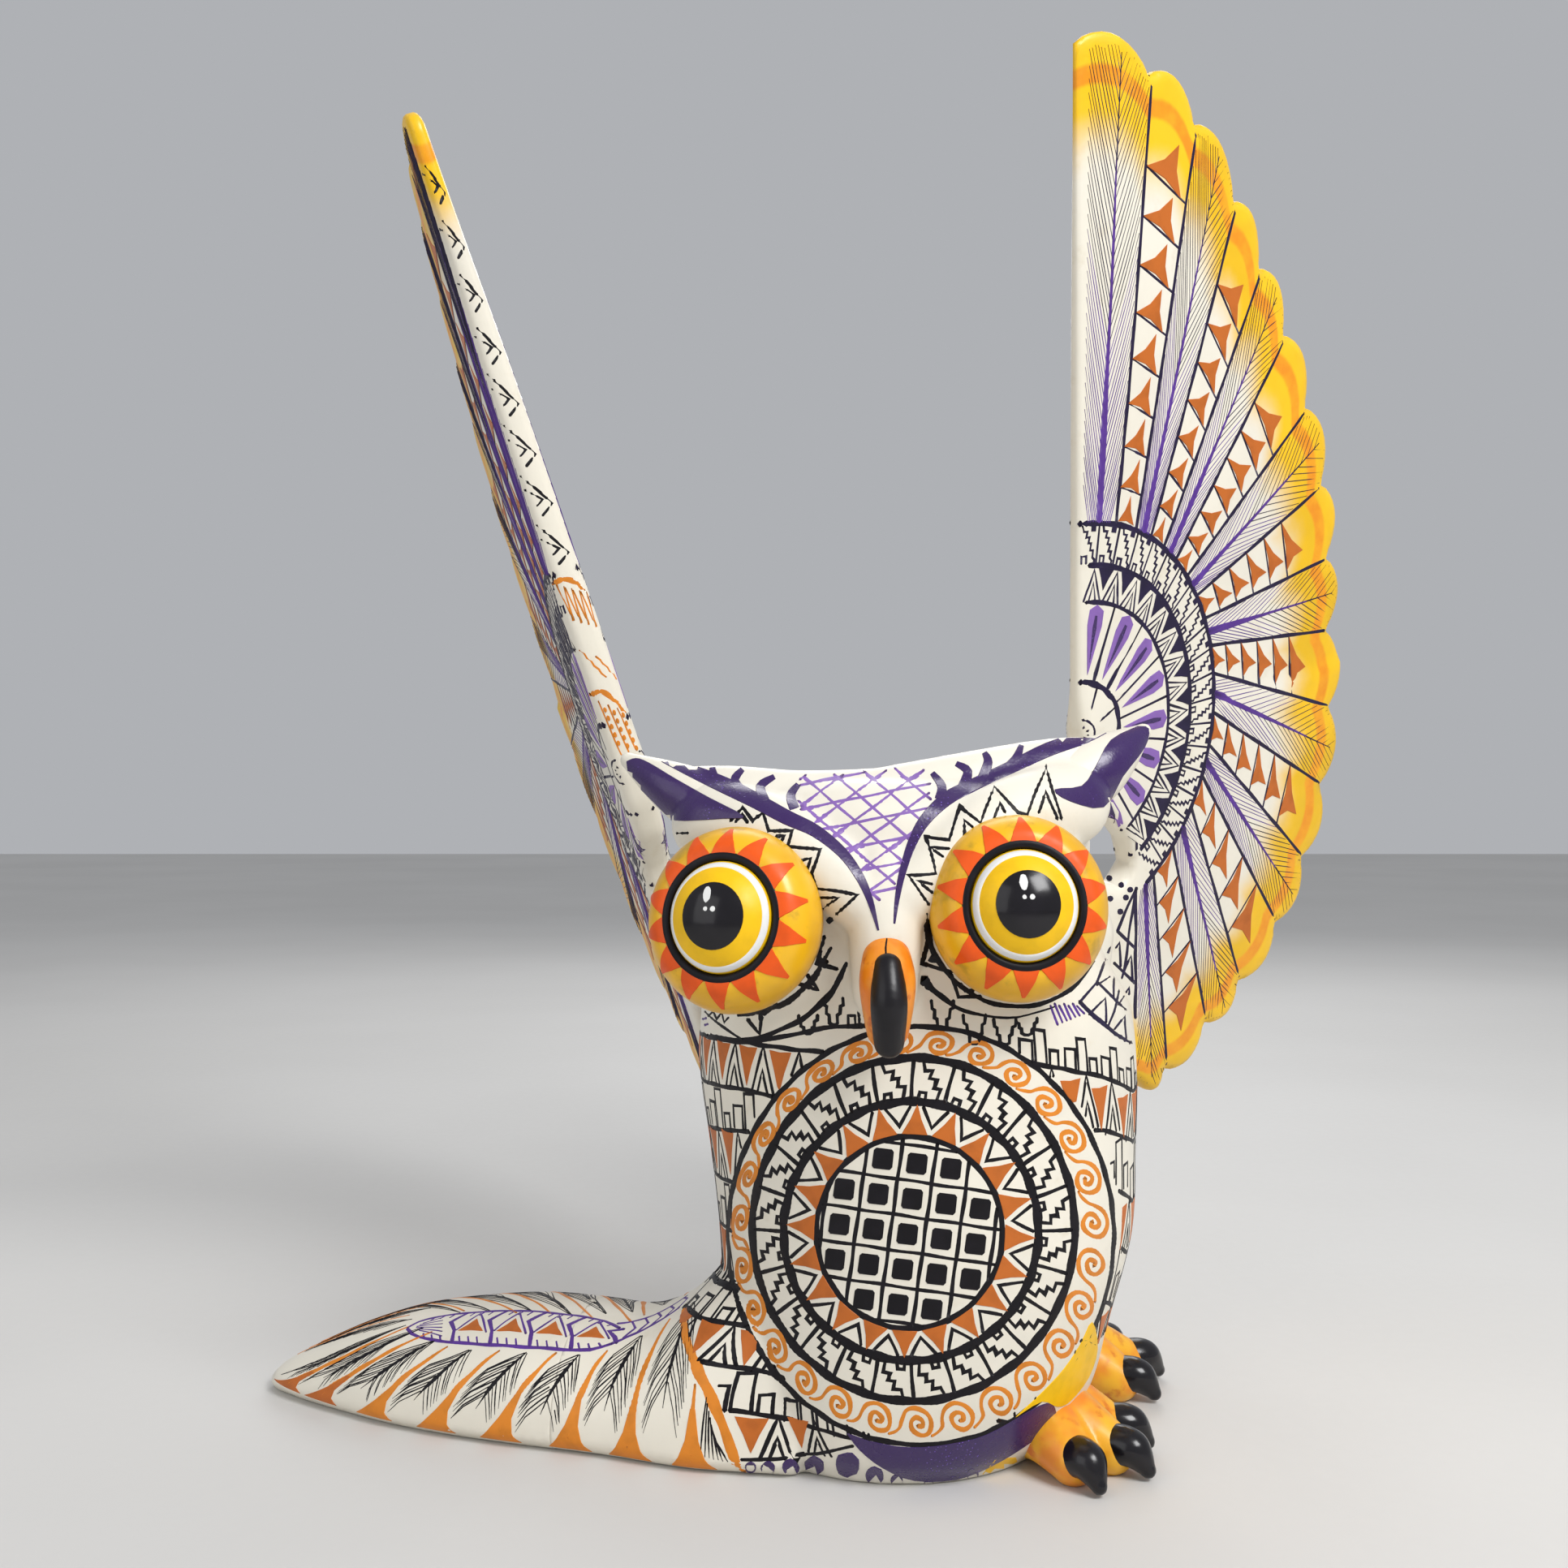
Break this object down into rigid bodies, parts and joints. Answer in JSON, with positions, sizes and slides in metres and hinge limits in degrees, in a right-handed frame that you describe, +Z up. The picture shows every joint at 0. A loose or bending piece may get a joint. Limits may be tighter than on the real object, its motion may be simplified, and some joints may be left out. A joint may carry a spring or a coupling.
{
  "type": "carved wooden owl figure",
  "caption": "Hand-carved and painted wooden owl with a patterned round belly, large ringed eyes, a spread tail and two tall raised fan wings that lift out of the shoulders for packing.",
  "frame": {"origin": "on the table, under the middle of the trunk", "axes": "+Z up, -Y the way the face looks, +X the side the feet point to"},
  "size_m": [0.2644, 0.175, 0.2942],
  "materials": {
    "painted_cream_wood": "satin",
    "painted_yellow_wood": "gloss",
    "gloss_eye_paint": "gloss",
    "painted_orange_wood": "satin",
    "gloss_black_paint": "gloss",
    "bare_wood": "matte"
  },
  "bodies": {
    "figure": {"trunk": "painted_cream_wood", "tail": "painted_cream_wood", "tail_dowel_near": "bare_wood", "tail_dowel_far": "bare_wood", "left_ear": "painted_cream_wood", "right_ear": "painted_cream_wood", "left_ear_peg": "bare_wood", "right_ear_peg": "bare_wood", "left_eye_ring": "painted_yellow_wood", "right_eye_ring": "painted_yellow_wood", "left_eye_dome": "gloss_eye_paint", "right_eye_dome": "gloss_eye_paint", "beak_surround": "painted_orange_wood", "beak_tip": "gloss_black_paint", "near_foot": "painted_orange_wood", "near_foot_dowel": "bare_wood", "near_foot_front_claw": "gloss_black_paint", "near_foot_middle_claw": "gloss_black_paint", "near_foot_back_claw": "gloss_black_paint", "far_foot": "painted_orange_wood", "far_foot_dowel": "bare_wood", "far_foot_front_claw": "gloss_black_paint", "far_foot_middle_claw": "gloss_black_paint", "far_foot_back_claw": "gloss_black_paint"},
    "left_wing": {"left_wing": "painted_cream_wood"},
    "right_wing": {"right_wing": "painted_cream_wood"}
  },
  "joints": [
    {"name": "left_wing_pull", "type": "slide", "parent": "figure", "child": "left_wing", "axis": [0.52, 0.1391, 0.8428], "range_m": [0, 0.035]},
    {"name": "right_wing_pull", "type": "slide", "parent": "figure", "child": "right_wing", "axis": [-0.3936, 0.4286, 0.8133], "range_m": [0, 0.035]}
  ]
}
